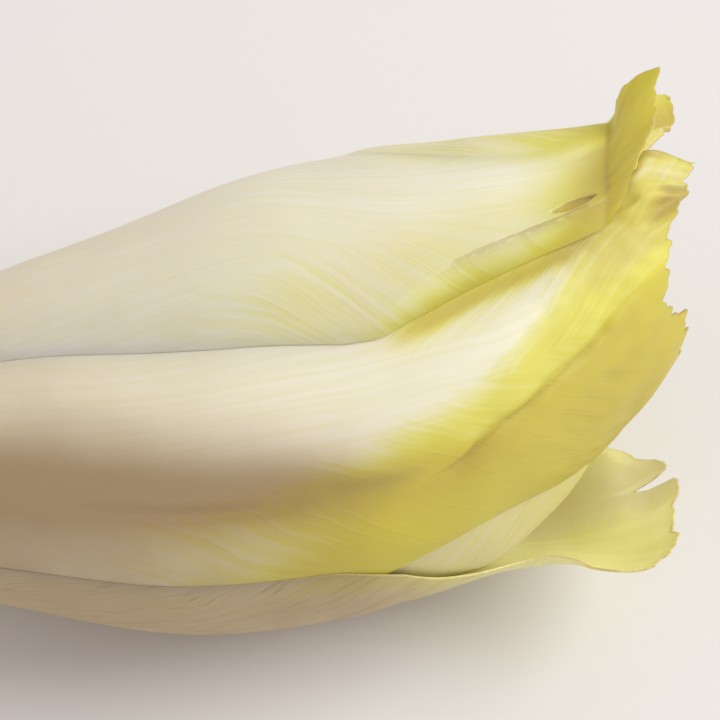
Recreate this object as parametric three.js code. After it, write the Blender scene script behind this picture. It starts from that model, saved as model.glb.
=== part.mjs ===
// Belgian endive (chicon), lying on its side on the flat belly of its lowest leaf.
// The origin is in the middle of that belly, on the table.
// The stem's cut face looks along -X, the leaf tips along +X, and +Z is up.
// The front of the head is its -Y side.
// Distances along the head count from the cut face.
// An angle round the head is 0 at the top and grows over the front towards the underside.

import * as THREE from 'three';

// ---- Driving dimensions, in millimetres and degrees ----

const HEAD_LENGTH = 118;
const AXIS_HEIGHT = 26.9;
const AXIS_RISE = 0.06;
const BELLY_X = 62;
const REST_X = 64;

// How far the closed head's tip end leans to the back, and the slight sag of its lower half.
const TIP_BEND = 15;
const BEND_START = 70;
const BEND_LIFT = 28;
const SAG = 1.6;
const SAG_X = 47;
const SAG_SPREAD = 16;

// Distance along the head and the closed head's radius there.
const GIRTH = [
  [0, 9.6], [12, 14.8], [25, 20], [43, 25.2], [58, 28.2], [70, 29],
  [80, 28.4], [90, 26.3], [97, 23.8], [104, 20.9], [111, 17.6], [118, 13.2], [126, 8],
];

// The table stops every leaf at zero; the lowest leaf's tip hangs this far above it.
const TIP_CLEARANCE = 5;
const CLEARANCE_FROM = 78;
const CLEARANCE_TO = 112;
const PRESS_BLEND = 0.8;

const GAP = 0.48;
const STEP_FADE = 9;
const EDGE_THICKNESS = 0.5;

const STEP_FROM = 0.6;
const BLADE_EXTRA = 0.35;
const RIB_WIDTH = 0.5;

const OUTER_ROWS = 26;
const OUTER_COLUMNS = 16;
const INNER_ROWS = 14;
const INNER_COLUMNS = 9;

// The stem and the cone that carries the leaf bases: distance from the cut face and radius.
const CORE = [
  [0, 9.4], [0.6, 10.1], [2, 10.2], [2.5, 9.6], [3.4, 7.7], [12, 6.6], [20, 5.2], [28, 3.2], [34, 1.4],
];
const CORE_LENGTH = 34;
const CORE_SIDES = 28;

// Top leaf: share across the leaf and where its tip edge ends; the rolled strip's fold; the folded tip.
const TOP_TIP = [[-1, 111.5], [-0.7, 114.5], [-0.42, 118], [0, 115.3], [0.5, 111.6], [1, 105.8]];
const TOP_CREASE = [[70, 19], [80, 10], [87, 7], [105, 6.4], [110, 4]];
const TOP_CREASE_RISE = 2.5;
const TOP_FOLD_X = 105.5;
const TOP_FOLD_SLANT = 2;
const TOP_FOLD_RADIUS = 2.6;
const TOP_FOLD_TURN = [[-1, 78], [-0.42, 54], [0, 40], [0.5, 38], [1, 40]];

// Under leaf: its tip edge with a cleft, and how far its open end stands off the head.
const UNDER_TIP = [
  [-1, 102.5], [-0.7, 108.5], [-0.3, 112], [0, 113.2], [0.2, 113.5], [0.3, 113],
  [0.4, 110], [0.5, 106], [0.65, 101], [1, 92],
];
const CLEFT_AT = 0.125;
const CLEFT_WIDTH = 0.12;
const CLEFT_DEPTH = 4.8;
const UNDER_LIFT = [
  [76, 0.2], [84, 1.7], [90, 3.7], [95, 6.6], [98, 9.6], [100.5, 12.8], [106, 17], [112, 21], [119, 23],
];
const UNDER_EDGE_LIFT = 2.4;
const UNDER_FLATTER = 9.5;

// Front leaf: its ragged tip edge.
const FRONT_TIP = [
  [-1, 119], [-0.75, 117.5], [-0.5, 114.8], [-0.25, 113.8], [0, 112.5],
  [0.25, 112.8], [0.5, 114.5], [0.75, 115.6], [1, 114.6],
];

// The inner leaves follow the plant's spiral, each a little shorter than the last.
const SPIRAL_FIRST = 173;
const SPIRAL_STEP = 137.5;
const INNER_COUNT = 12;
const INNER_START = 6;
const INNER_START_STEP = 2.3;
const INNER_END = 116.5;
const INNER_END_STEP = 1.1;
const INNER_SPREAD = 64;
const INNER_SPREAD_STEP = 1.2;
const INNER_TIP = 10;
const HEART_RADIUS = 2.4;

// Loose air shared out between the inner leaves, so that the last one closes on the heart.
const SPARE = [
  [0, 0], [20, 0], [40, 0.55], [60, 1.1], [75, 1.3], [90, 1.25],
  [98, 1.1], [105, 0.9], [112, 0.7], [120, 0.5],
];

const CORE_COLOUR = '#e6dcc2';
const OUTER_COLOURS = ['#e6e0b8', '#dccb8c', '#dcd49c', '#ebe6c4'];
const INNER_COLOUR = '#e2d870';

const rad = Math.PI / 180;

function clamp(value, low, high) {
  return Math.min(high, Math.max(low, value));
}

function ease(from, to, value) {
  const t = clamp((value - from) / (to - from), 0, 1);
  return t * t * (3 - 2 * t);
}

function softMin(a, b, width) {
  const h = Math.max(width - Math.abs(a - b), 0) / width;
  return Math.min(a, b) - h * h * width * 0.25;
}

// A smooth curve through pairs of [distance, value], level beyond both ends.
function along(pairs, x) {
  const last = pairs.length - 1;
  if (x <= pairs[0][0]) return pairs[0][1];
  if (x >= pairs[last][0]) return pairs[last][1];
  let i = 0;
  while (x > pairs[i + 1][0]) i += 1;
  const slope = (k) => {
    const a = pairs[Math.max(k - 1, 0)];
    const b = pairs[Math.min(k + 1, last)];
    return (b[1] - a[1]) / (b[0] - a[0]);
  };
  const width = pairs[i + 1][0] - pairs[i][0];
  const t = (x - pairs[i][0]) / width;
  const a = pairs[i][1];
  const b = pairs[i + 1][1];
  const m = slope(i) * width;
  const n = slope(i + 1) * width;
  const rise = t * t * (3 - 2 * t);
  return a + (b - a) * rise + m * t * (1 - t) * (1 - t) - n * t * t * (1 - t);
}

// ---- The closed head ----

function bend(x) {
  const t = Math.max(0, (x - BEND_START) / (HEAD_LENGTH - BEND_START));
  const sag = SAG * Math.exp(-(((x - SAG_X) / SAG_SPREAD) ** 2));
  return TIP_BEND * t ** 1.6 - sag;
}

const REST_Y = bend(REST_X) * Math.cos(BEND_LIFT * rad);

// The point at distance x along the head, at an angle round it and a radius from its axis.
function place(x, angle, radius) {
  const y = centreY(x) - REST_Y - radius * Math.sin(angle);
  return new THREE.Vector3(x - REST_X, y, centreZ(x) + radius * Math.cos(angle));
}

function centreY(x) {
  return bend(x) * Math.cos(BEND_LIFT * rad);
}

function centreZ(x) {
  return AXIS_HEIGHT + AXIS_RISE * (x - BELLY_X) + bend(x) * Math.sin(BEND_LIFT * rad);
}

function pressed(x, angle, radius) {
  const down = -Math.cos(angle);
  if (down < 0.2) return radius;
  const floor = TIP_CLEARANCE * ease(CLEARANCE_FROM, CLEARANCE_TO, x);
  return softMin(radius, (centreZ(x) - floor) / down, PRESS_BLEND);
}

// ---- Leaves, from the outermost to the heart ----
// rib, low and high: distance along the head and the angle of the midrib and of both edges.
// tipEdge: where the leaf ends, at v across it.
// lift: how far the leaf stands off the closed head, at x along it, v across it and an angle round it.

function roundedTip(end, back) {
  return (v) => end - back * Math.abs(v) ** 2.4;
}

// The top leaf rises to a crease and falls again in a strip rolled down onto the front leaf.
function topLift(x, v, angle) {
  const crease = along(TOP_CREASE, x) * rad;
  const edge = along(topLeaf.high, x) * rad;
  const middle = along(topLeaf.rib, x) * rad;
  const climb = clamp((angle - middle) / (crease - middle), 0, 1) ** 2;
  const fall = clamp((angle - crease) / Math.max(0.02, edge - crease), 0, 1);
  return TOP_CREASE_RISE * ease(68, 92, x) * climb * (1 - 0.9 * fall);
}

// Beyond the fold the tip stands up and out: where it shows along the head, and how far out.
function topFold(x, v) {
  const length = Math.max(0, x - (TOP_FOLD_X - TOP_FOLD_SLANT * v));
  const most = along(TOP_FOLD_TURN, v) * rad;
  const turn = Math.min(length / TOP_FOLD_RADIUS, most);
  const rest = length - turn * TOP_FOLD_RADIUS;
  return {
    shown: x - length + TOP_FOLD_RADIUS * Math.sin(turn) + rest * Math.cos(most),
    out: TOP_FOLD_RADIUS * (1 - Math.cos(turn)) + rest * Math.sin(most),
  };
}

const topLeaf = {
  name: 'leaf_01_top',
  start: 3,
  tipEdge: (v) => along(TOP_TIP, v),
  ribThickness: 2.6,
  rib: [[3, -45], [60, -38], [81, -18], [98, -11], [108, -13], [124, -18]],
  low: [[3, -95], [60, -88], [80, -47], [88, -33], [98, -25], [104, -28], [109, -35], [116, -38], [124, -26]],
  high: [
    [3, 0], [28, -3], [60, 12], [75, 18], [80, 16.2], [88, 13.4], [96, 12.8], [104, 14], [110, 13], [118, 6],
  ],
  lift: topLift,
  fold: topFold,
};

// The under leaf's end has fallen open; the cleft splits it into two lobes.
function underTip(v) {
  return along(UNDER_TIP, v) - CLEFT_DEPTH * Math.max(0, 1 - Math.abs(v - CLEFT_AT) / CLEFT_WIDTH);
}

function underLift(x, v) {
  const flatter = UNDER_FLATTER * ease(92, 108, x) * ease(-0.5, 0.7, v);
  return along(UNDER_LIFT, x) + UNDER_EDGE_LIFT * ease(98, 108, x) * ease(0, 1, -v) - flatter;
}

const underLeaf = {
  name: 'leaf_02_under',
  start: 3.2,
  tipEdge: underTip,
  ribThickness: 2.8,
  rib: [[3, 150], [80, 152], [90, 146], [98, 136], [106, 128], [118, 122]],
  low: [[3, 84], [28, 76], [66, 78], [74, 84], [82, 97], [88, 107], [94, 111], [104, 108], [118, 100]],
  high: [[3, 215], [60, 222], [90, 208], [104, 182], [118, 160]],
  lift: underLift,
};

const backLeaf = {
  name: 'leaf_03_back',
  start: 3.6,
  tipEdge: roundedTip(120.3, 12),
  ribThickness: 2.6,
  rib: [[3, -105], [119, -100]],
  low: [[3, -165], [60, -182], [96, -170], [119, -135]],
  high: [[3, -40], [60, -24], [96, -16], [108, -28], [119, -60]],
  lift: (x, v) => 6 * ease(107, 117, x) * ease(-0.75, -0.2, -v),
};

const frontLeaf = {
  name: 'leaf_04_front',
  start: 4.4,
  tipEdge: (v) => along(FRONT_TIP, v),
  ribThickness: 2.6,
  rib: [[4, 28], [80, 35], [92, 40], [120, 46]],
  low: [[4, -24], [60, -26], [100, -20], [120, -2]],
  high: [[4, 88], [50, 96], [70, 90], [89, 84], [97, 93], [105, 110], [112, 107], [120, 95]],
  lift: (x, v) => 1.8 * ease(90, 106, x) * ease(0.3, 1, v),
};

const leaves = [topLeaf, underLeaf, backLeaf, frontLeaf];

for (let i = 0; i < INNER_COUNT; i += 1) {
  const turn = ((SPIRAL_FIRST + SPIRAL_STEP * i + 180) % 360) - 180;
  const start = INNER_START + INNER_START_STEP * i;
  const end = INNER_END - INNER_END_STEP * i + 2.5 * Math.sin(2.4 * i);
  const spread = INNER_SPREAD + INNER_SPREAD_STEP * i;
  const edge = (share) => [
    [start, turn + share * spread * 0.8],
    [60, turn + share * spread],
    [98, turn + share * spread],
    [end, turn + share * spread * 0.5],
  ];
  leaves.push({
    name: `leaf_${String(i + 5).padStart(2, '0')}_inner`,
    start,
    tipEdge: roundedTip(end, INNER_TIP),
    ribThickness: 2.4 - 0.06 * i,
    rib: [[start, turn], [end, turn + 6 * Math.sin(1.7 * i)]],
    low: edge(-1),
    high: edge(1),
    lift: () => 0,
    inner: i + 1,
  });
}

// ---- The stack ----

function edgeAngles(leaf, x) {
  return {
    rib: along(leaf.rib, x) * rad,
    low: along(leaf.low, x) * rad,
    high: along(leaf.high, x) * rad,
  };
}

function angleAt(leaf, x, v) {
  const edge = edgeAngles(leaf, x);
  return edge.rib + v * (v > 0 ? edge.high - edge.rib : edge.rib - edge.low);
}

function thickness(leaf, u, v) {
  const length = clamp(u, 0, 1);
  const side = clamp(Math.abs(v), 0, 1);
  const rib = leaf.ribThickness * (0.55 + 0.45 * ease(0, 0.12, length)) * (1 - 0.8 * ease(0.3, 1, length));
  const blade = EDGE_THICKNESS + BLADE_EXTRA * (1 - length) * (1 - side);
  return blade + Math.max(0, rib - blade) * Math.exp(-((side / RIB_WIDTH) ** 2)) * (1 - side ** 4);
}

// Where the point x, angle lies on a leaf: 0..1 from its base to its tip and -1..1 across it.
function locate(leaf, x, angle) {
  const edge = edgeAngles(leaf, x);
  let turn = angle - edge.rib;
  turn -= 2 * Math.PI * Math.round(turn / (2 * Math.PI));
  const half = turn > 0 ? edge.high - edge.rib : edge.rib - edge.low;
  const v = turn / half;
  const far = leaf.tipEdge(clamp(v, -1, 1));
  const u = (x - leaf.start) / (far - leaf.start);
  const outside = Math.max((Math.abs(v) - 1) * half * girthAt(x), x - far, (leaf.start - x) * 3);
  return { u, v, outside };
}

function girthAt(x) {
  return along(GIRTH, x);
}

// How far a leaf's outer face lies under the closed head's skin.
function depth(order, x, angle) {
  let total = 0;
  for (let k = 0; k < order; k += 1) {
    const spot = locate(leaves[k], x, angle);
    const cover = 1 - ease(STEP_FROM, STEP_FADE, spot.outside);
    if (cover > 0) {
      total += cover * (thickness(leaves[k], spot.u, spot.v) * 1.1 + GAP);
    }
  }
  const inner = leaves[order].inner || 0;
  return total + inner * along(SPARE, x);
}

function outerPoint(order, u, v) {
  const leaf = leaves[order];
  const x = leaf.start + (leaf.tipEdge(v) - leaf.start) * u;
  const angle = angleAt(leaf, x, v);
  const bent = leaf.fold ? leaf.fold(x, v) : { shown: x, out: 0 };
  const shown = bent.shown;
  const skin = pressed(shown, angle, girthAt(shown) + leaf.lift(x, v, angle) + bent.out);
  const radius = Math.max(HEART_RADIUS, skin - depth(order, shown, angle));
  return place(shown, angle, radius);
}

// ---- Solids ----

function closedGrid(outer, inner, rows, columns) {
  const positions = [];
  for (const sheet of [outer, inner]) {
    for (const point of sheet) {
      positions.push(point.x, point.y, point.z);
    }
  }
  const index = [];
  const width = columns + 1;
  const shift = (rows + 1) * width;
  const quad = (a, b, c, d) => index.push(a, b, c, a, c, d);
  for (let i = 0; i < rows; i += 1) {
    for (let j = 0; j < columns; j += 1) {
      const a = i * width + j;
      quad(a, a + 1, a + width + 1, a + width);
      quad(shift + a, shift + a + width, shift + a + width + 1, shift + a + 1);
    }
  }
  for (let j = 0; j < columns; j += 1) {
    const low = j;
    const high = rows * width + j;
    quad(low + 1, low, shift + low, shift + low + 1);
    quad(high, high + 1, shift + high + 1, shift + high);
  }
  for (let i = 0; i < rows; i += 1) {
    const left = i * width;
    const right = left + columns;
    quad(left, left + width, shift + left + width, shift + left);
    quad(right + width, right, shift + right, shift + right + width);
  }
  const geometry = new THREE.BufferGeometry();
  geometry.setAttribute('position', new THREE.Float32BufferAttribute(positions, 3));
  geometry.setIndex(index);
  return geometry;
}

function leafSolid(order) {
  const leaf = leaves[order];
  const rows = leaf.inner ? INNER_ROWS : OUTER_ROWS;
  const columns = leaf.inner ? INNER_COLUMNS : OUTER_COLUMNS;
  const outer = [];
  const inner = [];
  const step = 0.002;
  for (let i = 0; i <= rows; i += 1) {
    const u = 1 - (1 - i / rows) ** 1.15;
    for (let j = 0; j <= columns; j += 1) {
      const v = (2 * j) / columns - 1;
      const point = outerPoint(order, u, v);
      const ahead = outerPoint(order, Math.min(1, u + step), v);
      const behind = outerPoint(order, Math.max(0, u - step), v);
      const right = outerPoint(order, u, Math.min(1, v + step));
      const left = outerPoint(order, u, Math.max(-1, v - step));
      const normal = new THREE.Vector3().crossVectors(right.sub(left), ahead.sub(behind)).normalize();
      outer.push(point);
      inner.push(point.clone().addScaledVector(normal, -thickness(leaf, u, v)));
    }
  }
  return closedGrid(outer, inner, rows, columns);
}

// The core: the short cut stem and the cone behind it.
function coreSolid() {
  const positions = [];
  const index = [];
  const rings = CORE.length;
  for (const [x, radius] of CORE) {
    for (let j = 0; j < CORE_SIDES; j += 1) {
      positions.push(...place(x, (2 * Math.PI * j) / CORE_SIDES, radius).toArray());
    }
  }
  for (let i = 0; i + 1 < rings; i += 1) {
    for (let j = 0; j < CORE_SIDES; j += 1) {
      const a = i * CORE_SIDES + j;
      const b = i * CORE_SIDES + ((j + 1) % CORE_SIDES);
      index.push(a, b, b + CORE_SIDES, a, b + CORE_SIDES, a + CORE_SIDES);
    }
  }
  const foot = positions.length / 3;
  positions.push(...place(0, 0, 0).toArray(), ...place(CORE_LENGTH, 0, 0).toArray());
  for (let j = 0; j < CORE_SIDES; j += 1) {
    const next = (j + 1) % CORE_SIDES;
    const far = (rings - 1) * CORE_SIDES;
    index.push(foot, next, j, foot + 1, far + j, far + next);
  }
  const geometry = new THREE.BufferGeometry();
  geometry.setAttribute('position', new THREE.Float32BufferAttribute(positions, 3));
  geometry.setIndex(index);
  return geometry;
}

function skinMaterial(colour) {
  return new THREE.MeshStandardMaterial({ color: colour, roughness: 0.5, metalness: 0 });
}

const endive = new THREE.Group();
endive.name = 'belgian_endive';

const core = new THREE.Mesh(coreSolid(), skinMaterial(CORE_COLOUR));
core.name = 'core';
endive.add(core);

leaves.forEach((leaf, order) => {
  const colour = leaf.inner ? INNER_COLOUR : OUTER_COLOURS[order];
  const mesh = new THREE.Mesh(leafSolid(order), skinMaterial(colour));
  mesh.name = leaf.name;
  endive.add(mesh);
});

export default endive;
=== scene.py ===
import math

import bpy
import mathutils
import numpy as np
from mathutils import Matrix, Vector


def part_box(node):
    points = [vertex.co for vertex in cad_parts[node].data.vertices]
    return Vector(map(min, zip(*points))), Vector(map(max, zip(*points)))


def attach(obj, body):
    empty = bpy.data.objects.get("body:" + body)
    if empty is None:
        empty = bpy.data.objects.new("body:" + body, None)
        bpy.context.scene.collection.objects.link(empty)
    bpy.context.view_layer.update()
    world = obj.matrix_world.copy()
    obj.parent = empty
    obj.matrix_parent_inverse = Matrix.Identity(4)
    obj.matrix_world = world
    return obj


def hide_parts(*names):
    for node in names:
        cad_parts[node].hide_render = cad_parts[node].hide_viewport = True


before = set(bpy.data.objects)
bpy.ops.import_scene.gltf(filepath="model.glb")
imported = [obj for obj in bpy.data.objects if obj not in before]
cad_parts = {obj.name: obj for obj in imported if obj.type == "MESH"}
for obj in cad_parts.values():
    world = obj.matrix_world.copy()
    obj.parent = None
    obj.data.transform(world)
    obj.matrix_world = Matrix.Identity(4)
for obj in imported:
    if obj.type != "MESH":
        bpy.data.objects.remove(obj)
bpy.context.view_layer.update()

MM = 0.001


# ---------------------------------------------------------------------------
# The stem: the pale, slightly woody foot that every leaf grows from, cut square
# across with a knife. Behind the cut it narrows to a cone between the leaf bases.
# ---------------------------------------------------------------------------

CUT_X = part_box("core")[0].x / MM

# The middle line of the head, in mm: it climbs a little, sags at the belly and bends away at the tips.
HEAD_LENGTH = 118
AXIS_HEIGHT, AXIS_RISE, BELLY_X = 26.9, 0.06, 62
BEND_START, TIP_BEND, BEND_LIFT = 70, 15, math.radians(28)
SAG, SAG_X, SAG_SPREAD = 1.6, 47, 16
REST_X = 64


def ease(start, stop, value):
    """0 before start, 1 after stop and smooth between."""
    t = np.clip((np.asarray(value, float) - start) / (stop - start), 0, 1)
    return t * t * (3 - 2 * t)


def bump(value, middle, width):
    """1 at the middle, falling off smoothly over the width to each side."""
    return np.exp(-(((np.asarray(value, float) - middle) / width) ** 2))


def bend(x):
    t = np.maximum(0, (x - BEND_START) / (HEAD_LENGTH - BEND_START))
    return TIP_BEND * t ** 1.6 - SAG * bump(x, SAG_X, SAG_SPREAD)


def middle_height(x):
    return AXIS_HEIGHT + AXIS_RISE * (x - BELLY_X) + bend(x) * math.sin(BEND_LIFT)


def place(x, angle, radius):
    """Points in metres: x mm from the cut, at an angle round the head and a radius from its middle line."""
    y = (bend(x) - bend(REST_X)) * math.cos(BEND_LIFT) - radius * np.sin(angle)
    z = middle_height(x) + radius * np.cos(angle)
    return np.stack([x + CUT_X, y, z], -1) * MM


def wavy(a, b, seed, octaves=3):
    """Smooth random waves over two lengths, about -1 to 1."""
    rng = np.random.default_rng(seed)
    total = 0
    size = 1.0
    for _ in range(octaves):
        for _ in range(4):
            turn = rng.uniform(0, 2 * math.pi)
            shift = rng.uniform(0, 2 * math.pi)
            pace = rng.uniform(0.7, 1.3) / size
            phase = (a * math.cos(turn) + b * math.sin(turn)) * pace * 2 * math.pi + shift
            total = total + size * np.sin(phase)
        size *= 0.5
    return total / 4.5


def mesh_object(name, points, faces, values):
    """A smooth mesh of four-sided faces, with named values at its points."""
    mesh = bpy.data.meshes.new(name)
    mesh.vertices.add(len(points))
    mesh.vertices.foreach_set("co", np.ascontiguousarray(points, np.float32).ravel())
    faces = np.asarray(faces, np.int32)
    mesh.loops.add(faces.size)
    mesh.loops.foreach_set("vertex_index", faces.ravel())
    mesh.polygons.add(len(faces))
    mesh.polygons.foreach_set("loop_start", np.arange(0, faces.size, 4, dtype=np.int32))
    mesh.polygons.foreach_set("loop_total", np.full(len(faces), 4, np.int32))
    mesh.polygons.foreach_set("use_smooth", np.ones(len(faces), bool))
    for key, numbers in values.items():
        layer = mesh.attributes.new(key, "FLOAT", "POINT")
        layer.data.foreach_set("value", np.ascontiguousarray(numbers, np.float32).ravel())
    mesh.update(calc_edges=True)
    mesh.validate()
    piece = bpy.data.objects.new(name, mesh)
    bpy.context.collection.objects.link(piece)
    return piece


class Socket:
    """One output of a shader node, with sums that add the nodes they need."""

    def __init__(self, tree, socket):
        self.tree = tree
        self.socket = socket

    def node(self, kind, settings=None, output=0, **values):
        """A new node: its settings first, then values or links for its inputs, by name or as i0, i1 ..."""
        made = self.tree.nodes.new(kind)
        for key, value in (settings or {}).items():
            setattr(made, key, value)
        for key, value in values.items():
            numbered = key[0] == "i" and key[1:].isdigit()
            target = made.inputs[int(key[1:])] if numbered else made.inputs[key]
            if isinstance(value, Socket):
                self.tree.links.new(value.socket, target)
            else:
                target.default_value = value
        return Socket(self.tree, made.outputs[output])

    def maths(self, operation, *values):
        numbers = {f"i{k}": value for k, value in enumerate(values)}
        return self.node("ShaderNodeMath", {"operation": operation}, **numbers)

    def __add__(self, other):
        return self.maths("ADD", self, other)

    __radd__ = __add__

    def __sub__(self, other):
        return self.maths("SUBTRACT", self, other)

    def __rsub__(self, other):
        return self.maths("SUBTRACT", other, self)

    def __mul__(self, other):
        return self.maths("MULTIPLY", self, other)

    __rmul__ = __mul__

    def size(self):
        return self.maths("ABSOLUTE", self)

    def between(self, low, high):
        """0 below low, 1 above high and smooth between."""
        kind = {"interpolation_type": "SMOOTHSTEP"}
        return self.node("ShaderNodeMapRange", kind, i0=self, i1=low, i2=high, i3=0.0, i4=1.0)

    def mix(self, under, over):
        """The colour under where this is 0, and the colour over where it is 1."""
        under, over = [colour if isinstance(colour, Socket) else (*colour, 1) for colour in (under, over)]
        return self.node("ShaderNodeMix", {"data_type": "RGBA"}, output=2, i0=self, i6=under, i7=over)


def new_material(name):
    """A material, a start for its nodes, and its shader."""
    material = bpy.data.materials.new(name)
    material.use_nodes = True
    tree = material.node_tree
    skin = tree.nodes["Principled BSDF"]
    return material, Socket(tree, None), skin


def value_of(start, name):
    return start.node("ShaderNodeAttribute", {"attribute_name": name}, output=2)


def noise(start, spot, scale, detail=3.0, roughness=0.5):
    return start.node("ShaderNodeTexNoise", Vector=spot, Scale=scale, Detail=detail, Roughness=roughness)


def finish_skin(start, skin, colour, rough, height, depth, numbers):
    """Links what varies over the surface, and sets the numbers that are the same all over it."""
    dent = start.node("ShaderNodeBump", Strength=0.35, Distance=depth, Height=height)
    for name, value in {"Base Color": colour, "Roughness": rough, "Normal": dent}.items():
        start.tree.links.new(value.socket, skin.inputs[name])
    for name, value in numbers.items():
        skin.inputs[name].default_value = value


# Distance from the cut and radius, in mm, from the middle of the cut face to the hidden point of the cone.
STEM_PROFILE = [
    (0.35, 0.0), (0.3, 3.0), (0.18, 6.0), (0.05, 8.6), (0.12, 9.5), (0.55, 10.05), (1.2, 10.2),
    (2.2, 10.3), (3.2, 10.2), (4.6, 9.2), (6.5, 7.4), (12, 6.6), (20, 5.2), (28, 3.2), (33, 1.6), (34, 0.0),
]
STEM_RINGS = 110
STEM_SIDES = 160


def stem_mesh():
    spots = np.array(STEM_PROFILE)
    length = np.concatenate([[0], np.cumsum(np.hypot(*np.diff(spots, axis=0).T))])
    steps = np.linspace(0, length[-1], STEM_RINGS)
    x = np.interp(steps, length, spots[:, 0])
    r = np.interp(steps, length, spots[:, 1])
    turn = np.linspace(0, 2 * math.pi, STEM_SIDES, endpoint=False)
    X, A = np.meshgrid(x, turn, indexing="ij")
    R = np.meshgrid(r, turn, indexing="ij")[0]
    flesh = wavy(R * np.cos(A) / 7, R * np.sin(A) / 7, 5)
    fibres = wavy(A * 4, X * 0.05, 6, 2)
    face = ease(9.6, 8.4, R) * (X < 3)
    X = X + face * (0.10 * flesh + 0.05 * np.sin(R * 2.6))
    R = np.maximum(0.02, R + (R > 2) * 0.10 * fibres)
    side = np.arange(STEM_SIDES)
    quads = []
    for i in range(STEM_RINGS - 1):
        a = i * STEM_SIDES + side
        b = i * STEM_SIDES + (side + 1) % STEM_SIDES
        quads.append(np.stack([a, b, b + STEM_SIDES, a + STEM_SIDES], 1))
    points = place(X, A, R).reshape(-1, 3)
    return mesh_object("stem", points, np.concatenate(quads), {"radius": R, "cut": face})


stem = stem_mesh()

FLESH_SHADED = (0.70, 0.61, 0.42)
FLESH_PALE = (0.81, 0.74, 0.57)
RING_BROWN = (0.5, 0.37, 0.19)
RIM_BROWN = (0.55, 0.42, 0.23)
RING_RADIUS = 7.3


def stem_material():
    """Pale flesh with a browned ring of vessels and a browned rim on the cut face."""
    material, start, skin = new_material("stem_flesh")
    spot = start.node("ShaderNodeTexCoord", output=3)
    radius = value_of(start, "radius")
    cut = value_of(start, "cut")
    cloud = noise(start, spot, 260.0, 4.0)
    grain = noise(start, spot, 900.0, 2.0)
    flesh = cloud.between(0.35, 0.7).mix(FLESH_SHADED, FLESH_PALE)
    ring = (radius - RING_RADIUS).size().between(0.9, 0.1) * 0.55
    flesh = ring.mix(flesh, RING_BROWN)
    rim = radius.between(8.6, 9.8) * (0.1 + 0.4 * cloud)
    flesh = rim.mix(flesh, RIM_BROWN)
    rough = 0.55 - 0.15 * cut + 0.1 * cloud
    height = cloud * 0.6 + grain * 0.4
    finish_skin(start, skin, flesh, rough, height, 0.0006, {
        "Subsurface Weight": 0.25,
        "Subsurface Radius": (1.0, 0.8, 0.45),
        "Subsurface Scale": 0.002,
        "Specular IOR Level": 0.35,
    })
    return material


stem.data.materials.append(stem_material())
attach(stem, "root")
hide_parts("core")


# ---------------------------------------------------------------------------
# The top leaf: thin fresh leaf tissue on a thick pale midrib, grown from the stem's upper
# side and lying over all the others. Its tip is folded out, and one edge is rolled down.
# ---------------------------------------------------------------------------

# The radius of the closed head at each distance from the cut, in mm.
GIRTH = [
    [0, 9.6], [12, 14.8], [25, 20], [43, 25.2], [58, 28.2], [70, 29], [80, 28.4],
    [90, 26.3], [97, 23.8], [104, 20.9], [111, 17.6], [118, 13.2], [126, 8],
]
# The loose room that each inner leaf keeps from the one outside it, beside that leaf's own thickness.
SPARE = [
    [0, 0], [20, 0], [40, 0.55], [60, 1.1], [75, 1.3], [90, 1.25],
    [98, 1.1], [105, 0.9], [112, 0.7], [120, 0.5],
]
# The air between two leaves, the thinnest part of a blade, and the least distance from the middle line.
GAP = 0.48
EDGE_THICKNESS = 0.5
HEART_RADIUS = 2.4
# How far the free tips stay above the table, and over how much a leaf flattens on it.
TIP_CLEARANCE = 5
PRESS_BLEND = 0.8
# Degrees round the head: of the valley along the top leaf's rolled edge, and of the middle of the back.
SEAM = [[3, 2], [28, 0], [60, 15], [75, 19.5], [88, 16], [100, 15.5]]
BACK_ANGLE = -95

wrapped = []


def along(pairs, x):
    """A smooth curve through [distance, value] pairs, level beyond both ends."""
    spots, values = np.array(pairs, float).T
    slopes = np.empty_like(values)
    slopes[1:-1] = (values[2:] - values[:-2]) / (spots[2:] - spots[:-2])
    slopes[0] = (values[1] - values[0]) / (spots[1] - spots[0])
    slopes[-1] = (values[-1] - values[-2]) / (spots[-1] - spots[-2])
    x = np.clip(x, spots[0], spots[-1])
    i = np.clip(np.searchsorted(spots, x) - 1, 0, len(spots) - 2)
    width = spots[i + 1] - spots[i]
    t = (x - spots[i]) / width
    rise = t * t * (3 - 2 * t)
    lean = slopes[i] * t * (1 - t) ** 2 - slopes[i + 1] * t * t * (1 - t)
    return values[i] + (values[i + 1] - values[i]) * rise + lean * width


def round_trip(angle):
    """The angle brought to between minus and plus half a turn."""
    return angle - 2 * math.pi * np.round(angle / (2 * math.pi))


def pressed(x, angle, radius):
    """The radius held back where the table would be in its way."""
    down = -np.cos(angle)
    floor = TIP_CLEARANCE * ease(78, 112, x)
    most = (middle_height(x) - floor) / np.maximum(down, 0.2)
    h = np.maximum(PRESS_BLEND - np.abs(radius - most), 0) / PRESS_BLEND
    soft = np.minimum(radius, most) - h * h * (PRESS_BLEND / 4)
    return np.where(down < 0.2, radius, soft)


def seam(x, angle):
    """How far all leaves dip: a valley along the top leaf's rolled edge, and a flatter back near the tips."""
    beside = round_trip(angle - np.radians(along(SEAM, x))) * along(GIRTH, x)
    valley = 1.3 * ease(2, 20, x) * ease(102, 84, x) * bump(beside, 0, 5.5)
    valley = valley + 1.4 * bump(x, 91, 10) * bump(beside, 0.6, 3.2)
    behind = np.degrees(np.abs(round_trip(angle - math.radians(BACK_ANGLE))))
    return valley + (2.4 * ease(78, 93, x) + 1.5 * bump(x, 104, 6)) * ease(62, 25, behind)


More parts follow.
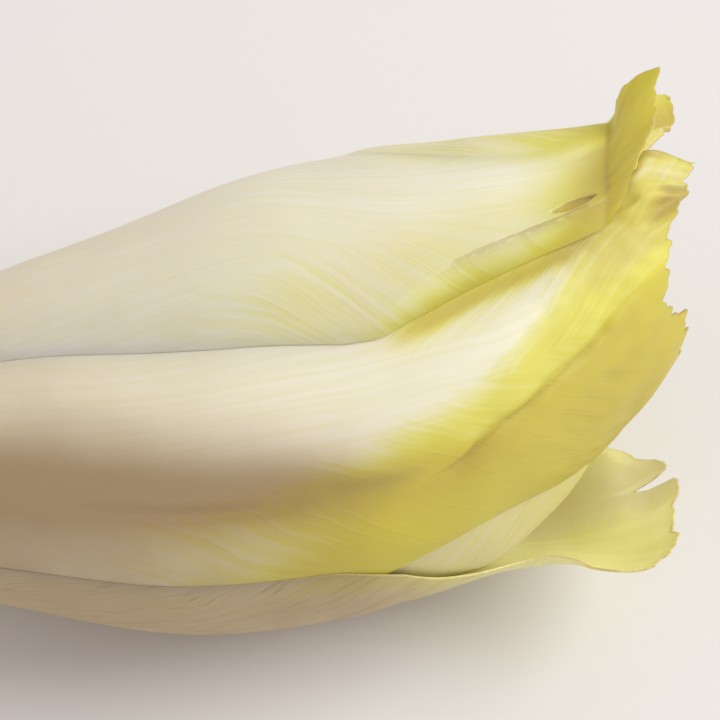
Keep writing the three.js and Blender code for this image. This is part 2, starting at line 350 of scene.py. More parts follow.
class Leaf:
    """Where one leaf lies: x runs along the head, angles run round it, v runs -1 to 1 across it.

    rib, low and high are [x, degrees] pairs of its midrib and its two margins. lift and fold move it from the
    closed head's skin, relief shapes its own surface, and crease gives the distance to a fold, along which a
    brown line is painted as the shade under the fold. inner counts the leaves outside it. Up to flush_to its
    margins lie drop mm lower, on the leaf below."""

    def __init__(self, start, tip_edge, rib_thickness, rib, low, high, lift=None, relief=None, fold=None,
                 crease=None, inner=0, flush_to=66, drop=0.4):
        self.start = start
        self.tip_edge = tip_edge
        self.rib_thickness = rib_thickness
        self.rib = rib
        self.low = low
        self.high = high
        self.lift = lift
        self.relief = relief
        self.fold = fold
        self.crease = crease
        self.inner = inner
        self.flush_to = flush_to
        self.drop = drop

    def edges(self, x):
        return [np.radians(along(pairs, x)) for pairs in (self.rib, self.low, self.high)]

    def angle(self, x, v):
        rib, low, high = self.edges(x)
        return rib + v * np.where(v > 0, high - rib, rib - low)

    def flush(self, x):
        """1 where the leaf lies closed on the one below, 0 towards its free tip."""
        return ease(self.flush_to + 10, self.flush_to - 6, x)

    def thickness(self, u, v):
        u = np.clip(u, 0, 1)
        side = np.clip(np.abs(v), 0, 1)
        rib = self.rib_thickness * (0.55 + 0.45 * ease(0, 0.12, u)) * (1 - 0.8 * ease(0.3, 1, u))
        blade = EDGE_THICKNESS + 0.35 * (1 - u) * (1 - side)
        return blade + np.maximum(0, rib - blade) * bump(side, 0, 0.5) * (1 - side ** 4)

    def room(self, x, angle):
        """How much this leaf pushes the ones inside it towards the axis at x and angle."""
        rib, low, high = self.edges(x)
        turn = round_trip(angle - rib)
        half = np.where(turn > 0, high - rib, rib - low)
        v = turn / half
        far = self.tip_edge(np.clip(v, -1, 1))
        u = (x - self.start) / (far - self.start)
        beside = (np.abs(v) - 1) * half * along(GIRTH, x)
        outside = np.maximum(np.maximum(beside, x - far), (self.start - x) * 3)
        laid_close = 0.35 + 0.65 * ease(0.3, 6, -outside)
        return (1 - ease(0.6, 9, outside)) * laid_close * (self.thickness(u, v) * 1.1 + GAP)

    def face(self, u, v):
        """Points of the outer face in metres, with their x and angle."""
        x = self.start + (self.tip_edge(v) - self.start) * u
        angle = self.angle(x, v)
        raised = self.lift(x, v, angle) if self.lift else 0.0
        shown = x
        if self.fold:
            shown, up = self.fold(x, v)
            raised = raised + up
        skin = pressed(shown, angle, along(GIRTH, shown) + raised - seam(shown, angle))
        for outer in wrapped:
            skin = skin - outer.room(shown, angle)
        skin = skin - self.inner * along(SPARE, shown)
        rib, low, high = self.edges(x)
        margin = np.minimum(angle - low, high - angle) * along(GIRTH, x)
        skin = skin - self.drop * ease(7, 0, margin) * self.flush(x)
        if self.relief:
            skin = skin + self.relief(x, v, angle)
        return place(shown, angle, np.maximum(HEART_RADIUS, skin)), x, angle


def leaf_mesh(name, leaf, rows, columns, yellow, tan):
    """A closed thin shell under the leaf's outer face, with thinner, rounded margins.

    yellow(x, v, angle) and tan(x, v, angle) say how yellow and how brown each spot is, up to about 1; the
    brown is partly stain and partly painted shade."""
    # The grid is finer towards the tip and the margins.
    s = np.linspace(0, 1, rows + 1)
    u = 1 - (1 - s) ** 1.15
    s = np.linspace(-1, 1, columns + 1)
    v = 0.72 * s + 0.28 * np.sin(s * math.pi / 2)
    U, V = np.meshgrid(u, v, indexing="ij")
    outer, X, A = leaf.face(U, V)
    step = 0.002
    ahead = leaf.face(np.minimum(1, U + step), V)[0] - leaf.face(np.maximum(0, U - step), V)[0]
    right = leaf.face(U, np.minimum(1, V + step))[0] - leaf.face(U, np.maximum(-1, V - step))[0]
    normal = np.cross(right, ahead)
    normal /= np.maximum(1e-12, np.linalg.norm(normal, axis=-1, keepdims=True))

    # Lengths in mm: from the midrib, from the tip's edge, and from the nearest edge.
    rib, low, high = leaf.edges(X)
    side = (A - rib) * along(GIRTH, X)
    far = leaf.tip_edge(V) - X
    near = np.minimum(np.minimum((A - low), (high - A)) * along(GIRTH, X), far)
    # Distance to the nearest edge, which is browned, or to a crease, where the same brown line is painted
    # shade under a fold.
    browned = np.minimum(far, leaf.crease(X, A)) if leaf.crease else near
    closed = leaf.flush(X)
    thick = leaf.thickness(U, V) * (0.5 - 0.35 * closed + (0.5 + 0.35 * closed) * ease(0, 3, near))
    inner = outer - normal * thick[..., None] * MM

    width = columns + 1
    count = (rows + 1) * width
    i, j = np.meshgrid(np.arange(rows), np.arange(columns), indexing="ij")
    a = (i * width + j).ravel()
    front = np.stack([a, a + 1, a + width + 1, a + width], 1)
    back = count + front[:, ::-1]

    def joined(a, b):
        return np.stack([a, b, count + b, count + a], 1)

    foot = np.arange(columns)
    tip = rows * width + foot
    low_edge = np.arange(rows) * width
    high_edge = low_edge + columns
    rim = np.concatenate([
        joined(foot + 1, foot), joined(tip, tip + 1),
        joined(low_edge, low_edge + width), joined(high_edge + width, high_edge),
    ])

    def twice(grid):
        return np.concatenate([grid.ravel(), grid.ravel()])

    values = {
        "reach": twice(X), "side": twice(side), "near": twice(browned),
        "inside": np.concatenate([np.zeros(count), np.ones(count)]),
        "yellow": twice(yellow(X, V, A)), "tan": twice(tan(X, V, A)),
    }
    points = np.concatenate([outer.reshape(-1, 3), inner.reshape(-1, 3)])
    piece = mesh_object(name, points, np.concatenate([front, back, rim]), values)
    smooth = np.ones(len(piece.data.polygons), bool)
    smooth[-len(rim):] = False
    piece.data.polygons.foreach_set("use_smooth", smooth)
    return piece


PALE = (0.885, 0.84, 0.665)
YELLOW = (0.77, 0.725, 0.18)
DEEP = (0.715, 0.625, 0.065)
TAN = (0.445, 0.33, 0.18)
DARK_TAN = (0.36, 0.26, 0.12)
OCHRE = (0.44, 0.33, 0.09)
BRUISE_BROWN = (0.33, 0.22, 0.09)
EDGE_BROWN = (0.42, 0.27, 0.10)


def leaf_material(name, pale, yellow, deep, vein_slope=0.45, vein_strength=1.0, streaks=0.35,
                  fibre=0.22, brown_lines=0.0):
    """Pale fibrous midrib running out into a yellow blade with branching veins."""
    material, start, skin = new_material(name)
    reach = value_of(start, "reach")
    side = value_of(start, "side")
    near = value_of(start, "near")
    tint = value_of(start, "yellow")
    within = value_of(start, "inside")
    tan = value_of(start, "tan")

    def flat_place(a, b, c=0.0):
        return start.node("ShaderNodeCombineXYZ", i0=a, i1=b, i2=c)

    # Clouds 12 mm across, grain of 1 mm, and fibres drawn out along the leaf.
    cloud = noise(start, flat_place(reach * 0.08, side * 0.08), 1.0, 4.0)
    grain = noise(start, flat_place(reach * 0.9, side * 0.9), 1.0, 4.0, 0.6)
    fibres = noise(start, flat_place(reach * 0.035, side * 1.5), 1.0, 3.0, 0.6)

    # Veins leave the midrib at a slant: broad ones, threads between them, and a net near the tip.
    sway = noise(start, flat_place(reach * 0.05, side * 0.07, 3.0), 1.0, 2.0)
    away = side.size()
    lane = away + sway * 7.0 - reach * vein_slope
    broad = noise(start, flat_place(lane * 0.42, reach * 0.022, 5.0), 1.0, 1.0)
    fine = noise(start, flat_place(lane * 1.2, reach * 0.05, 9.0), 1.0, 1.0)
    vein = 1.0 - (broad - 0.5).size().between(0.0, 0.1)
    thread = 0.7 - (fine - 0.5).size().between(0.0, 0.1) * 0.7
    blade = away.between(3.0, 9.0) * tint.between(0.12, 0.5)
    mesh = {"feature": "DISTANCE_TO_EDGE", "voronoi_dimensions": "2D"}
    net = start.node("ShaderNodeTexVoronoi", mesh, Vector=flat_place(lane * 0.5, reach * 0.3), Scale=1.0)
    net = (1.0 - net.between(0.0, 0.07)) * reach.between(88.0, 108.0) * 0.6
    vein = (vein + net).between(0.0, 1.0) * blade
    thread = thread * blade

    # Pale to yellow to deep yellow, in streaks along the veins.
    streak = (fine - 0.5) * 1.5 + (broad - 0.5) * 0.9
    streak = streak * tint.between(0.05, 0.4) * (1.5 - tint).between(0.0, 0.7)
    tint = tint + streak * streaks
    shade = (tint + (cloud - 0.5) * 0.3 - vein * 0.16 * vein_strength - thread * 0.07).between(0.0, 1.0)
    colour = shade.mix(pale, yellow)
    colour = (tint + (cloud - 0.5) * 0.3 - vein * 0.2).between(0.75, 1.35).mix(colour, deep)
    dulled = tuple(0.88 * c for c in yellow)
    colour = (fibres.between(0.3, 0.75) * (1.0 - blade * 0.8) * fibre).mix(colour, dulled)

    # Tan and dark tan: real stains, and painted shade in valleys, creases and hollows and on shaded flanks.
    # Brown bruised lines and a dried edge.
    brown = tint.between(0.2, 1.0).mix(TAN, OCHRE)
    brown_share = tan + (cloud - 0.5) * 0.3
    colour = brown_share.between(0.0, 1.0).mix(colour, brown)
    colour = brown_share.between(1.15, 1.5).mix(colour, DARK_TAN)
    if brown_lines:
        line = (1.0 - (fine - 0.5).size().between(0.0, 0.035)) * (sway.between(0.35, 0.6) * 0.5 + 0.5)
        colour = (line * away.between(5.0, 9.0) * (1.0 - within) * brown_lines).mix(colour, BRUISE_BROWN)
    # Dried brown edges; along a crease the same brown is painted shade under the fold.
    edge = (near + grain * 0.8).between(0.75, 0.3) * reach.between(70.0, 104.0)
    colour = (edge * 0.7).mix(colour, EDGE_BROWN)

    rough = 0.46 + 0.12 * grain - 0.05 * vein
    height = fibres * 0.2 * (1.0 - blade) + grain * 0.1 + vein * 0.16 * vein_strength + thread * 0.08
    finish_skin(start, skin, colour, rough, height, 0.0004, {
        "Subsurface Weight": 0.35,
        "Subsurface Radius": (1.0, 0.85, 0.35),
        "Subsurface Scale": 0.0025,
        "Specular IOR Level": 0.4,
    })
    return material


def finish_leaf(piece, material, node):
    piece.data.materials.append(material)
    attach(piece, "root")
    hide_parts(node)


TOP_CREASE = [[70, 19], [80, 10], [87, 7], [105, 6.4], [110, 4]]
TOP_TIP = [[-1, 112], [-0.7, 115.3], [-0.42, 118], [0, 115.9], [0.5, 112], [1, 106]]
TOP_FOLD = [[-1, 78], [-0.42, 54], [0, 40], [0.5, 38], [1, 40]]
FOLD_RADIUS = 1.2
TEAR_X, TEAR_HALF_LENGTH, TEAR_HALF_WIDTH = 101.6, 3, 0.62


def top_tip(v):
    spike = 1.6 * np.maximum(0, 1 - np.abs(v + 0.42) / 0.16)
    return along(TOP_TIP, v) + spike + 0.3 * np.sin(v * 9) + 0.2 * np.sin(v * 31 + 1)


def top_fold_start(v):
    """Where along the leaf its tip starts to fold out."""
    return 106.9 - 2 * v


def top_tear(x, angle):
    """The small tear above the fold: how far inside it a spot is, and its distance from the torn edge."""
    across = (angle - np.radians(along(TOP_CREASE, x) - 3.4)) * along(GIRTH, x)
    half = TEAR_HALF_WIDTH * (1 - ((x - TEAR_X) / TEAR_HALF_LENGTH) ** 2)
    beyond = 3 * ease(TEAR_HALF_LENGTH, TEAR_HALF_LENGTH + 0.6, np.abs(x - TEAR_X))
    return ease(-0.15, 0.15, half - np.abs(across)), np.abs(half - np.abs(across)) + beyond


def top_crease(x, angle):
    """How far a spot is from the sharp fold above the rolled strip, where a brown line is painted as shade,
    or from the tear's browned edge.
    """
    across = (angle - np.radians(along(TOP_CREASE, x))) * along(GIRTH, x)
    fold = 1.6 * np.abs(across + 0.12) - 0.25 + 3 * ease(86, 82, x) + 3 * ease(103, 105, x)
    return np.minimum(fold, top_tear(x, angle)[1])


def top_lift(x, v, angle):
    crease = np.radians(along(TOP_CREASE, x))
    across = (angle - crease) * along(GIRTH, x)
    ledge = 0.5 * ease(0, 0.6, across) * ease(78, 88, x) * ease(104, 99, x)
    edge = np.radians(along(top_leaf.high, x))
    middle = np.radians(along(top_leaf.rib, x))
    climb = np.clip((angle - middle) / (crease - middle), 0, 1) ** 2
    fall = np.clip((angle - crease) / np.maximum(0.02, edge - crease), 0, 1)
    return 2.5 * ease(68, 92, x) * climb * (1 - 0.75 * fall) - ledge - 0.6 * top_tear(x, angle)[0]


def top_fold(x, v):
    """Where a spot of the flat tip comes to along the head, and how far it is raised."""
    at = top_fold_start(v)
    most = np.radians(along(TOP_FOLD, v))
    length = np.maximum(0, x - at)
    turn = np.minimum(length / FOLD_RADIUS, most)
    rest = length - turn * FOLD_RADIUS
    shown = np.minimum(x, at) + FOLD_RADIUS * np.sin(turn) + rest * np.cos(most)
    return shown, FOLD_RADIUS * (1 - np.cos(turn)) + rest * np.sin(most)


top_leaf = Leaf(
    start=2.3, tip_edge=top_tip, rib_thickness=2.6,
    rib=[[3, -45], [60, -38], [81, -18], [98, -11], [108, -13], [124, -18]],
    low=[
        [3, -95], [60, -88], [80, -47], [88, -33], [98, -25],
        [104, -28], [109, -35], [116, -38], [124, -26],
    ],
    high=[
        [3, 0], [28, -3], [60, 12], [75, 18], [80, 16.2], [88, 13.4],
        [96, 12.8], [104, 14], [110, 13], [118, 6],
    ],
    lift=top_lift, fold=top_fold, crease=top_crease, flush_to=90, drop=0.3,
)


def top_tan(x, v, angle):
    turn = np.degrees(angle)
    crease = along(TOP_CREASE, x)
    # Painted shade: browner in the valley along the rolled edge.
    beside = 0.44 * bump(turn, along(SEAM, x) - 0.5, 3.5) * ease(72, 84, x) * ease(104, 96, x)
    # Painted shade on the rolled strip just under the sharp fold.
    strip = 0.16 * ease(crease - 0.1, crease + 0.2, turn) * ease(crease + 7, crease + 0.2, turn)
    beside = beside + strip * ease(80, 88, x)
    bent = top_fold_start(v)
    # Painted shade where the blade dips into the fold at its tip.
    folded = 0.38 * ease(bent - 9, bent - 0.5, x) * ease(-0.5, -0.2, v) * ease(bent + 1.2, bent, x)
    folded = folded + 0.1 * ease(94, 104, x)
    mottle = 0.14 * wavy(v * 5, x * 0.12, 71) + 0.04 * wavy(v * 14, x * 0.16, 72)
    middle = 0.2 * bump(v + 0.35, 0, 0.35) * ease(bent + 2, bent + 6, x)
    folded = folded + ease(bent - 0.2, bent + 0.5, x) * (0.17 + 0.09 * ease(-0.2, -0.5, v) + mottle - middle)
    # Browner towards the stem, partly stain and partly painted shade of the dimmer root end. Inside the tear
    # the brown is painted shade.
    return 0.32 * ease(85, 10, x) + folded + beside + 0.3 * top_tear(x, angle)[0]


def top_yellow(x, v, angle):
    turn = np.degrees(angle)
    blade = 0.5 * ease(35, 70, x) * ease(-22, 4, turn) + 0.55 * ease(60, 88, x) * ease(-0.3, -0.95, v)
    crease = along(TOP_CREASE, x)
    strip = 0.12 * ease(crease - 1, crease + 2, turn) * ease(78, 88, x)
    # Deeper yellow along the valley by the rolled edge, partly the tissue's yellow and partly painted shade.
    groove = 1.1 * bump(turn, along(SEAM, x), 5) * ease(70, 84, x)
    # Inside the tear, deeper yellow here and brown in top_tan paint the leaf seen through it, in painted
    # shade.
    late = 0.6 * ease(93, 106, x) + 0.5 * ease(104, 109, x) + 0.5 * top_tear(x, angle)[0]
    return 0.05 + blade + strip + groove + late


top = leaf_mesh("top_leaf", top_leaf, 240, 140, top_yellow, top_tan)
top_skin = leaf_material("top_leaf_skin", PALE, YELLOW, DEEP, vein_strength=0.7, streaks=0.12)
finish_leaf(top, top_skin, "leaf_01_top")
wrapped.append(top_leaf)


# ---------------------------------------------------------------------------
# The under leaf: the lowest outer leaf, which the head lies on, bruised in fine lines and browner away from
# its tip, partly its own duller colour and partly painted shade. Its tip end has fallen open away from the
# head and is split into two ragged lobes.
# ---------------------------------------------------------------------------

UNDER_TIP = [
    [-1, 102.5], [-0.7, 108.5], [-0.3, 112], [0, 113.2], [0.2, 113.5], [0.3, 113],
    [0.4, 110], [0.5, 106], [0.65, 101], [1, 92],
]
UNDER_RIM_LIFT = [
    [76, 0.2], [84, 1.7], [90, 3.7], [95, 6.6], [98, 9.6], [100.5, 12.8], [106, 17], [112, 21], [119, 23],
]
UNDER_LIFT = [[76, 0.2], [84, 2.2], [90, 5], [96, 9], [101, 13], [106, 17], [112, 21], [119, 23]]


def under_tip(v):
    teeth = 0.7 * np.abs((v * 9.3) % 1 - 0.5) + 0.45 * np.abs((v * 21.7 + 0.3) % 1 - 0.5)
    ragged = 0.5 * np.sin(v * 13 + 0.6) + 0.25 * np.sin(v * 31) + teeth
    cleft = 4.8 * bump(v, 0.17, 0.03)
    return along(UNDER_TIP, v) + ragged - cleft


def under_lift(x, v, angle):
    flatter = 9.5 * ease(92, 108, x) * ease(-0.5, 0.7, v)
    rim = ease(-0.45, -0.95, v)
    spread = rim * along(UNDER_RIM_LIFT, x) + (1 - rim) * along(UNDER_LIFT, x)
    return spread + 2.4 * ease(98, 108, x) * ease(0, 1, -v) - flatter


under_leaf = Leaf(
    start=2.5, tip_edge=under_tip, rib_thickness=2.8,
    rib=[[3, 150], [80, 152], [90, 146], [98, 136], [106, 128], [118, 122]],
    low=[[3, 84], [28, 76], [66, 78], [74, 84], [82, 97], [88, 107], [94, 111], [104, 108], [118, 100]],
    high=[[3, 215], [60, 222], [90, 208], [104, 182], [118, 160]],
    lift=under_lift, flush_to=72, drop=0.5,
)


def under_tan(x, v, angle):
    # Browner away from the tip: partly the leaf's own duller colour, partly painted shade on its shaded outer
    # side.
    return 0.62 * ease(95, 70, x) + 0.12 * ease(92, 84, x) + 0 * v


def under_yellow(x, v, angle):
    away = np.abs(v - 0.2 * ease(86, 99, x))
    blade = 0.25 * ease(40, 80, x) * ease(0.3, 0.9, away) + 0.75 * ease(70, 92, x) * ease(0.04, 0.3, away)
    return 0.15 + blade + 0.5 * ease(-0.84, -0.94, v) * ease(56, 70, x) * ease(98, 90, x)


# Yellow and deep yellow lighter than the other leaves': painted light on the shaded inner face of the open
# tip.
UNDER_PALE = (0.80, 0.73, 0.49)
UNDER_YELLOW = (0.90, 0.86, 0.40)
UNDER_DEEP = (0.87, 0.82, 0.31)

under = leaf_mesh("under_leaf", under_leaf, 240, 140, under_yellow, under_tan)
under_skin = leaf_material(
    "under_leaf_skin", UNDER_PALE, UNDER_YELLOW, UNDER_DEEP,
    vein_slope=0.7, fibre=0.5, brown_lines=0.5,
)
finish_leaf(under, under_skin, "leaf_02_under")
wrapped.append(under_leaf)


# ---------------------------------------------------------------------------
# The back leaf: the same fresh tissue, grown from the stem's back and wrapped round that
# side of the head. Only a strip of its blade and its rounded tip stand above the top leaf.
# ---------------------------------------------------------------------------

def back_tip(v):
    lobe = 3.4 * bump(v, 0.72, 0.24)
    return 120.3 - 12 * np.abs(v) ** 2.4 + lobe + 0.3 * np.sin(v * 17) + 0.12 * np.sin(v * 47)


def back_lift(x, v, angle):
    return 7.4 * ease(107, 117, x) * ease(-0.75, -0.2, -v)


back_leaf = Leaf(
    start=2.7, tip_edge=back_tip, rib_thickness=2.6,
    rib=[[3, -105], [119, -100]],
    low=[[3, -165], [60, -182], [96, -170], [119, -135]],
    high=[[3, -40], [60, -24], [96, -16], [108, -28], [119, -60]],
    lift=back_lift,
)


def back_yellow(x, v, angle):
    return 0.15 + 0.45 * ease(50, 85, x) * ease(0.15, 0.7, np.abs(v)) + 0.8 * ease(90, 113, x)


def back_tan(x, v, angle):
    return 0.28 * ease(50, 5, x) + 0.16 * ease(70, 90, x) + 0.5 * ease(111, 116, x) * ease(0.3, 0.6, v)


back = leaf_mesh("back_leaf", back_leaf, 240, 140, back_yellow, back_tan)
back_skin = leaf_material("back_leaf_skin", PALE, YELLOW, DEEP)
finish_leaf(back, back_skin, "leaf_03_back")
wrapped.append(back_leaf)


# ---------------------------------------------------------------------------
# The front leaf: the broad one with the thick white midrib, grown from the stem's front.
# It is pleated along its lower side and ragged at its tip. Its lower flank, pleat and tip corner carry
# painted shade, and near the stem its brown is partly stain and partly painted shade.
# ---------------------------------------------------------------------------

FRONT_TIP = [
    [-1, 119.8], [-0.88, 118.7], [-0.75, 117.5], [-0.6, 117], [-0.5, 115.8], [-0.25, 113.8],
    [0, 112.5], [0.25, 112.8], [0.5, 114.5], [0.75, 115.6], [1, 114.6],
]
# The pleat, as degrees round the head at each distance from the cut.
FRONT_CREASE = [
    [30, 46], [45, 49], [59, 52.5], [78, 58], [84, 56.5], [89, 53], [96, 50.5], [102, 47.5], [110, 41],
]


def front_tip(v):
    ragged = 0.4 * np.sin(v * 11 + 2) + 0.35 * np.sin(v * 27) + 0.2 * np.sin(v * 61 + 1)
    return along(FRONT_TIP, v) + ragged


def front_lift(x, v, angle):
    return 1.8 * ease(90, 106, x) * ease(0.3, 1, v)


def front_hollow(x, v):
    """The small shaded hollow under the curled corner of the tip."""
    return ease(-0.72, -0.66, v) * ease(-0.34, -0.5, v) * ease(-6, -2.5, x - front_tip(v))


def front_relief(x, v, angle):
    line = along(FRONT_CREASE, x) + 0.8 * np.sin(x * 0.7) * ease(76, 84, x)
    across = (np.degrees(angle) - line) * math.pi / 180 * along(GIRTH, x)
    soft = 1.0 * bump(across, 0, 5) * ease(25, 60, x) * (1 - ease(80, 92, x))
    above = np.exp(-np.abs(across) / 2.6)
    below = np.exp(-np.abs(across) / 0.9)
    sharp = 1.25 * np.where(across < 0, above, below) * ease(76, 90, x) * (1 - ease(103, 112, x))
    ruffle = 0.35 * wavy(x / 14, v * 2.2, 41) * ease(86, 105, x)
    past = x - front_tip(v)
    corner = ease(-0.42, -0.62, v)
    curl = -2.6 * ease(-5.5, 0, past) ** 1.5 * corner + 1.1 * bump(past, -7, 2.2) * corner
    return ruffle - soft - sharp + curl - 1.3 * front_hollow(x, v)


front_leaf = Leaf(
    start=2.9, tip_edge=front_tip, rib_thickness=2.6,
    rib=[[4, 28], [80, 35], [92, 40], [120, 46]],
    low=[[4, -24], [60, -26], [100, -20], [120, -2]],
    high=[
        [4, 88], [50, 96], [66, 89], [74, 84], [82, 81], [89, 83],
        [97, 93], [105, 110], [112, 107], [120, 95],
    ],
    lift=front_lift, relief=front_relief,
)


def front_yellow(x, v, angle):
    turn = np.degrees(angle)
    edge = along([[50, 50], [70, 46], [80, 42], [88, 39], [95, 31], [101, 19], [107, 1], [112, -24]], x)
    flank = along(FRONT_CREASE, x)
    full = 0.6 * ease(28, 55, x) + 0.45 * ease(55, 78, x) - 0.09 * ease(82, 92, x)
    lag = 14 - 11 * ease(78, 88, x)
    lower = ease(edge - 9, edge + 8, turn) * full
    lower = lower + (0.5 + 0.09 * ease(82, 92, x)) * ease(flank - lag, flank + 2, turn) * ease(55, 78, x)
    rim = 0.9 * ease(70, 80, turn) * ease(52, 68, x)
    # Deeper yellow along the valley under the top leaf's rolled edge, partly the tissue's yellow and partly
    # painted shade.
    groove = 1.3 * bump(turn, along(SEAM, x) - 1, 3.6) + 0.3 * bump(turn, along(SEAM, x) + 4, 7)
    groove = groove * ease(72, 84, x)
    deeper = 0.35 * ease(66, 76, turn) * ease(48, 62, x) * ease(92, 80, x)
    faded = bump(v, -0.82, 0.09) * bump(x - front_tip(v), -4.5, 4)
    return 0.04 + (lower + (rim + groove) * np.maximum(0, 1 - lower) + deeper) * (1 - 0.45 * faded)


def front_tan(x, v, angle):
    turn = np.degrees(angle)
    # Painted shade, partly brown tissue: the lower flank browns from the angle shade onwards, most near the
    # pleat.
    shade = along([[30, 25], [46, 31], [59, 37], [71, 44], [80, 50]], x)
    low = ease(shade - 17, shade + 9, turn) * (0.5 + 0.5 * bump(turn, along(FRONT_CREASE, x) - 3, 11))
    flank = turn - along(FRONT_CREASE, x)
    low = low * (1 - 0.62 * ease(58, 90, x)) * (1 - 0.75 * ease(80, 90, x) * ease(0, -6, flank))
    # Painted shade: browner in the valley under the top leaf's rolled edge.
    beside = 0.55 * bump(turn, along(SEAM, x), 3.5) * ease(72, 84, x) * ease(106, 98, x)
    # Painted shade: darker at the top corner of the tip and on the flank past the pleat near the tip.
    corner = 0.42 * ease(96, 104, x) * ease(38, 28, turn) + 0.12 * ease(84, 94, x) * ease(56, 66, turn)
    # Painted shade: a dark line in the pleat and a browner flank beyond it.
    line = 0.3 * bump(flank, 0.3, 0.55) * ease(78, 85, x) * ease(106, 98, x)
    fold = 0.22 * ease(-0.5, 2, flank) * ease(74, 86, x) + line
    # Painted shade in the hollow under the curled corner of the tip, and browner along the tucked margin
    # beside it.
    tucked = 0.4 * front_hollow(x, v) + 0.35 * ease(-0.9, -0.97, v) * bump(x - front_tip(v), -6.5, 2.5)
    # Painted shade: browner in the groove along the pleat, nearer the stem.
    groove = 0.4 * bump(flank, 0.3, 3.2) * ease(26, 54, x) * ease(68, 58, x)
    groove = groove + 0.16 * bump(flank + 4, 0, 2.4) * ease(66, 70, x) * ease(82, 74, x)
    # Browner towards the stem, partly stain and partly painted shade of the dimmer root end.
    return 0.38 * ease(78, 12, x) + 0.85 * low + beside + corner + fold + tucked + groove


front = leaf_mesh("front_leaf", front_leaf, 240, 160, front_yellow, front_tan)
front_skin = leaf_material(
    "front_leaf_skin", PALE, YELLOW, DEEP,
    vein_slope=0.6, vein_strength=0.7, streaks=0.4,
)
finish_leaf(front, front_skin, "leaf_04_front")
wrapped.append(front_leaf)


# ---------------------------------------------------------------------------
# The inner leaves: twelve more of the same tissue, each smaller and grown higher on the
# stem's cone, turned by the plant's own spiral to cover the gap between the last two.
# ---------------------------------------------------------------------------

INNER_LEAVES = 12
FINER_LEAVES = 6
SPIRAL_FIRST, SPIRAL_STEP = 173, 137.5
INNER_PALE = (0.78, 0.72, 0.44)
INNER_YELLOW = (0.78, 0.70, 0.20)
INNER_DEEP = (0.70, 0.60, 0.10)

inner_skin = leaf_material("inner_leaf_skin", INNER_PALE, INNER_YELLOW, INNER_DEEP)

# The lower margin of the outermost inner leaf, which fills the gap that the under leaf leaves open.
FIRST_LOW = [[54, 109], [66, 92], [76, 78], [98, 84], [108, 110]]


def first_lift(x, v, angle):
    """The outermost inner leaf leans out against the under leaf's open rim."""
    turned = np.degrees(angle)
    out = 1.2 + np.minimum(2.4, 0.2 + 0.8 * along(UNDER_RIM_LIFT, x)) * ease(84, 106, turned)
    return out * ease(66, 77, x) * ease(110, 98, x) * ease(150, 120, turned)


for i in range(INNER_LEAVES):
    turn = (SPIRAL_FIRST + SPIRAL_STEP * i + 180) % 360 - 180
    first = 6 + 2.3 * i
    last = 116.5 - 1.1 * i + 2.5 * math.sin(2.4 * i)
    spread = 64 + 1.2 * i
    tint, gain, brown_share = (0.2, 0.6, 0) if i else (0.42, 0.3, 0.24)

    def inner_tip(v, last=last, i=i):
        return last - 10 * np.abs(v) ** 2.4 + 0.4 * np.sin(v * 15 + i) + 0.2 * np.sin(v * 43 + i)

    def inner_edge(share, turn=turn, first=first, last=last, spread=spread):
        return [
            [first, turn + share * spread * 0.8], [60, turn + share * spread],
            [98, turn + share * spread], [last, turn + share * spread * 0.5],
        ]

    def inner_yellow(x, v, angle, tint=tint, gain=gain):
        return tint + gain * ease(50, 100, x) + 0 * v

    def inner_tan(x, v, angle, brown_share=brown_share):
        return brown_share + 0 * v

    inner_leaf = Leaf(
        start=first, tip_edge=inner_tip, rib_thickness=2.4 - 0.06 * i,
        rib=[[first, turn], [last, turn + 6 * math.sin(1.7 * i)]],
        low=inner_edge(-1), high=inner_edge(1), inner=i + 1,
    )
    if i == 0:
        inner_leaf.low = [[first, turn - 51], *FIRST_LOW, [last, 141]]
        inner_leaf.lift = first_lift
    rows, columns = (100, 60) if i < FINER_LEAVES else (60, 36)
    piece = leaf_mesh(f"inner_leaf_{i + 1:02d}", inner_leaf, rows, columns, inner_yellow, inner_tan)
    finish_leaf(piece, inner_skin, f"leaf_{i + 5:02d}_inner")
    wrapped.append(inner_leaf)


# ---------------------------------------------------------------------------
# The floor, the light and the camera: not part of the object. A pale matt table,
# one broad soft lamp high up beyond the tips, and pale light all round.
# ---------------------------------------------------------------------------

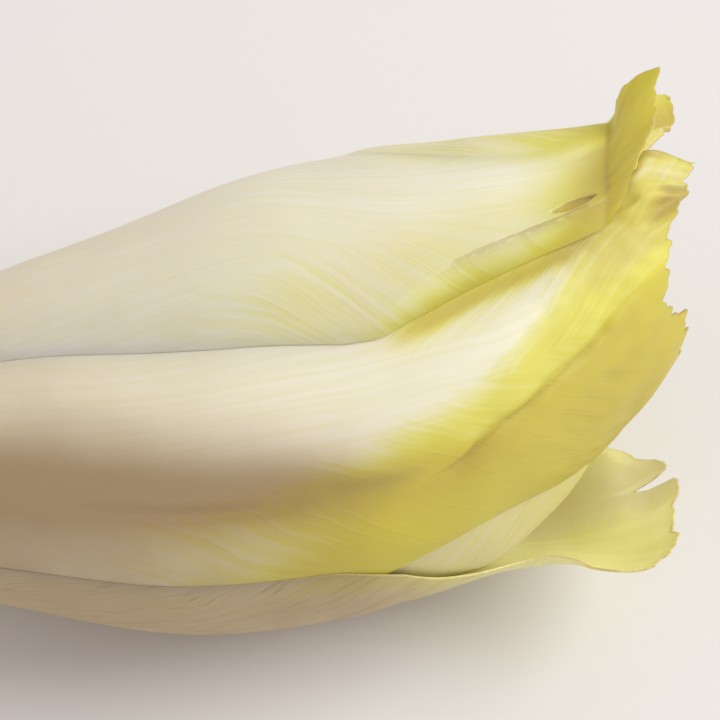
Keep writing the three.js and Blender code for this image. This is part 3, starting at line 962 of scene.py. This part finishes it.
FLOOR_HALF = 6.0
floor_mesh = bpy.data.meshes.new("floor")
corners = [(-1, -1), (1, -1), (1, 1), (-1, 1)]
floor_mesh.from_pydata([(a * FLOOR_HALF, b * FLOOR_HALF, 0) for a, b in corners], [], [(0, 1, 2, 3)])
floor = bpy.data.objects.new("floor", floor_mesh)
bpy.context.collection.objects.link(floor)
table_paint, start, skin = new_material("pale_table")
skin.inputs["Base Color"].default_value = (0.80, 0.79, 0.77, 1)
skin.inputs["Roughness"].default_value = 0.9
skin.inputs["Specular IOR Level"].default_value = 0.1
floor_mesh.materials.append(table_paint)

world = bpy.data.worlds.new("studio")
world.use_nodes = True
world.node_tree.nodes["Background"].inputs["Color"].default_value = (1.0, 0.915, 0.925, 1)
world.node_tree.nodes["Background"].inputs["Strength"].default_value = 0.63
bpy.context.scene.world = world

LAMP_AIM = (0, 0, 0.03)
LAMP_DISTANCE = 1.3
toward_lamp = np.array([1.3, 0.03, 1.15])
toward_lamp /= np.linalg.norm(toward_lamp)
lamp_data = bpy.data.lights.new("broad_lamp", "AREA")
lamp_data.shape = "DISK"
lamp_data.size = 0.9
lamp_data.energy = 12.2
lamp_data.color = (0.965, 1.0, 1.0)
lamp = bpy.data.objects.new("broad_lamp", lamp_data)
lamp.location = [a + LAMP_DISTANCE * b for a, b in zip(LAMP_AIM, toward_lamp)]
lamp.rotation_euler = mathutils.Vector(-toward_lamp).to_track_quat("-Z", "Y").to_euler()
bpy.context.collection.objects.link(lamp)

YAW = math.radians(-8.5)
LIFT = math.radians(62)
AIM = (0.011, 0.003, 0.0289)
LENS = 150
SENSOR = 36
VIEW_WIDTH = 0.0922
distance = VIEW_WIDTH * LENS / SENSOR
camera_data = bpy.data.cameras.new("camera")
camera_data.lens = LENS
camera_data.sensor_width = SENSOR
camera_data.clip_start = 0.01
camera = bpy.data.objects.new("camera", camera_data)
back_off = (math.sin(YAW) * math.cos(LIFT), -math.cos(YAW) * math.cos(LIFT), math.sin(LIFT))
camera.location = [a + distance * b for a, b in zip(AIM, back_off)]
camera.rotation_euler = (math.pi / 2 - LIFT, 0, YAW)
bpy.context.collection.objects.link(camera)
bpy.context.scene.camera = camera
bpy.context.scene.view_settings.view_transform = "Standard"
